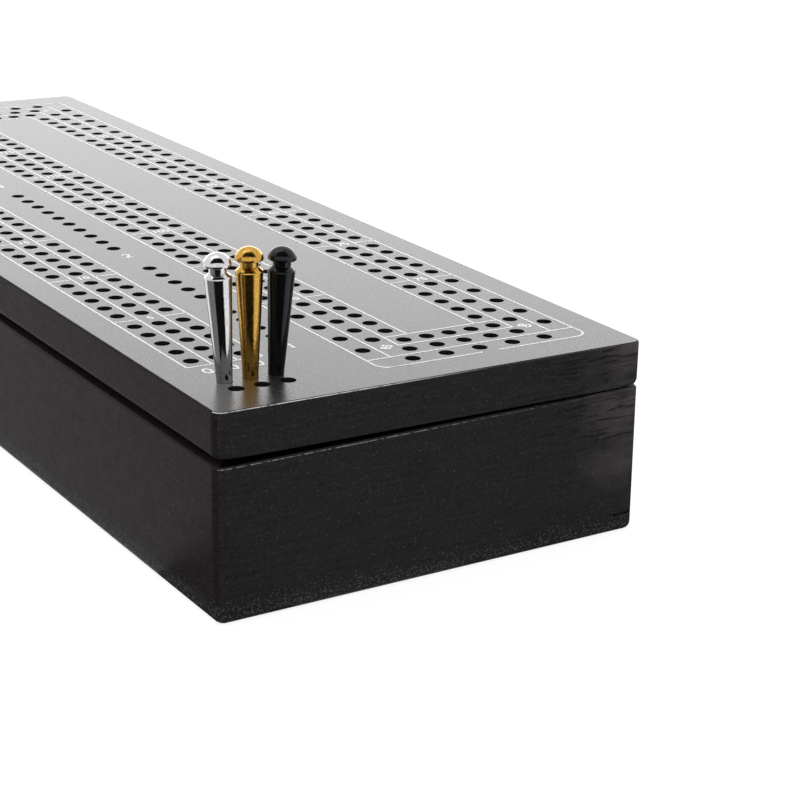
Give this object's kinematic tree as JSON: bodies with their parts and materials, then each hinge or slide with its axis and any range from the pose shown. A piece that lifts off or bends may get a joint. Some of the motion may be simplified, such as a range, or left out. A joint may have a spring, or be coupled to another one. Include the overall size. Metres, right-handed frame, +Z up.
{
  "type": "cribbage box with drawer",
  "caption": "Long black-lacquered wooden box with a drilled pegging board on top, standing metal pegs and a card drawer in the far end.",
  "frame": {"origin": "centre of the underside of the case, on the surface it stands on", "axes": "+Z up, +Y along the box from the plain near end to the drawer end, +X to the right seen from the near end"},
  "size_m": [0.0953, 0.301, 0.0666],
  "materials": {
    "black_lacquer": "satin black lacquer over close-grained wood",
    "bare_wood": "plain sanded wood",
    "steel": "zinc-plated",
    "chrome_metal": "polished",
    "gold_metal": "gold-plated",
    "black_metal": "gloss black plating"
  },
  "bodies": {
    "case": {"board": "black_lacquer", "wall_left": "black_lacquer", "wall_right": "black_lacquer", "wall_near": "black_lacquer", "bottom_panel": "black_lacquer", "cleat_left": "bare_wood", "cleat_right": "bare_wood", "board_screws": "steel"},
    "drawer": {"drawer_front": "black_lacquer", "drawer_side_left": "bare_wood", "drawer_side_right": "bare_wood", "drawer_back": "bare_wood", "drawer_bottom": "bare_wood", "drawer_divider": "bare_wood", "peg_tray": "bare_wood", "knob": "gold_metal", "knob_screw": "steel", "spare_peg_chrome": "chrome_metal", "spare_peg_gold": "gold_metal", "spare_peg_black": "black_metal"},
    "peg_chrome": {"peg_chrome": "chrome_metal"},
    "peg_gold": {"peg_gold": "gold_metal"},
    "peg_black": {"peg_black": "black_metal"}
  },
  "joints": [
    {"name": "drawer_slide", "type": "slide", "parent": "case", "child": "drawer", "axis": [0, 1, 0], "range_m": [0, 0.23]},
    {"name": "peg_chrome_lift", "type": "slide", "parent": "case", "child": "peg_chrome", "axis": [-0.0385, 0.024, 0.999], "range_m": [0, 0.02]},
    {"name": "peg_gold_lift", "type": "slide", "parent": "case", "child": "peg_gold", "axis": [0, 0, 1], "range_m": [0, 0.02]},
    {"name": "peg_black_lift", "type": "slide", "parent": "case", "child": "peg_black", "axis": [0.0488, -0.0305, 0.9983], "range_m": [0, 0.02]}
  ]
}
